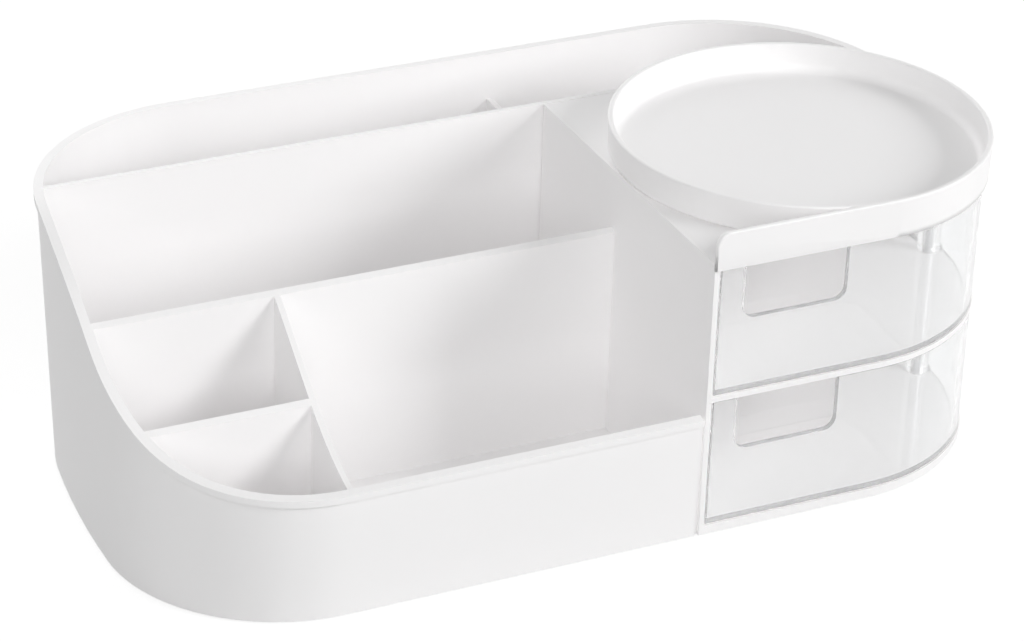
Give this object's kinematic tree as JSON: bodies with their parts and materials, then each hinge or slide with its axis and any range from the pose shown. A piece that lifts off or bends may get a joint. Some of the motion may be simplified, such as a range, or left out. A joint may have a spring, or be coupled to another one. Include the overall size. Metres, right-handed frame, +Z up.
{
  "type": "rotating drawer make-up organizer",
  "caption": "white desk make-up caddy with divided bins, and a round tray over clear drawers that swing out about one corner pin",
  "frame": {"origin": "centre of the plan's bounding box, on the surface that the organizer stands on", "axes": "+X is the long side, towards the cabinet of drawers; +Y is towards the back; +Z is up"},
  "size_m": [0.327, 0.184, 0.1168],
  "materials": {
    "white_plastic": "satin",
    "clear_plastic": "gloss",
    "washer_plastic": "satin",
    "steel": "satin",
    "foot_rubber": "matte"
  },
  "bodies": {
    "organizer": {"caddy_tub": "white_plastic", "cabinet_housing": "white_plastic", "mid_shelf": "white_plastic", "top_tray": "white_plastic", "hinge_pin": "steel", "lower_hinge_washer": "washer_plastic", "upper_hinge_washer": "washer_plastic", "housing_screws": "steel", "foot_pad_1": "foot_rubber", "foot_pad_2": "foot_rubber", "foot_pad_3": "foot_rubber", "foot_pad_4": "foot_rubber", "foot_pad_5": "foot_rubber", "foot_pad_6": "foot_rubber"},
    "drawer_low": {"lower_drawer": "clear_plastic"},
    "drawer_high": {"upper_drawer": "clear_plastic"}
  },
  "joints": [
    {"name": "lower_drawer_swing", "type": "hinge", "parent": "organizer", "child": "drawer_low", "pos_m": [0.15581, -0.02397, 0.00465], "axis": [0, 0, 1], "range_deg": [0, 90]},
    {"name": "upper_drawer_swing", "type": "hinge", "parent": "organizer", "child": "drawer_high", "pos_m": [0.15581, -0.02397, 0.05485], "axis": [0, 0, 1], "range_deg": [0, 90]}
  ]
}
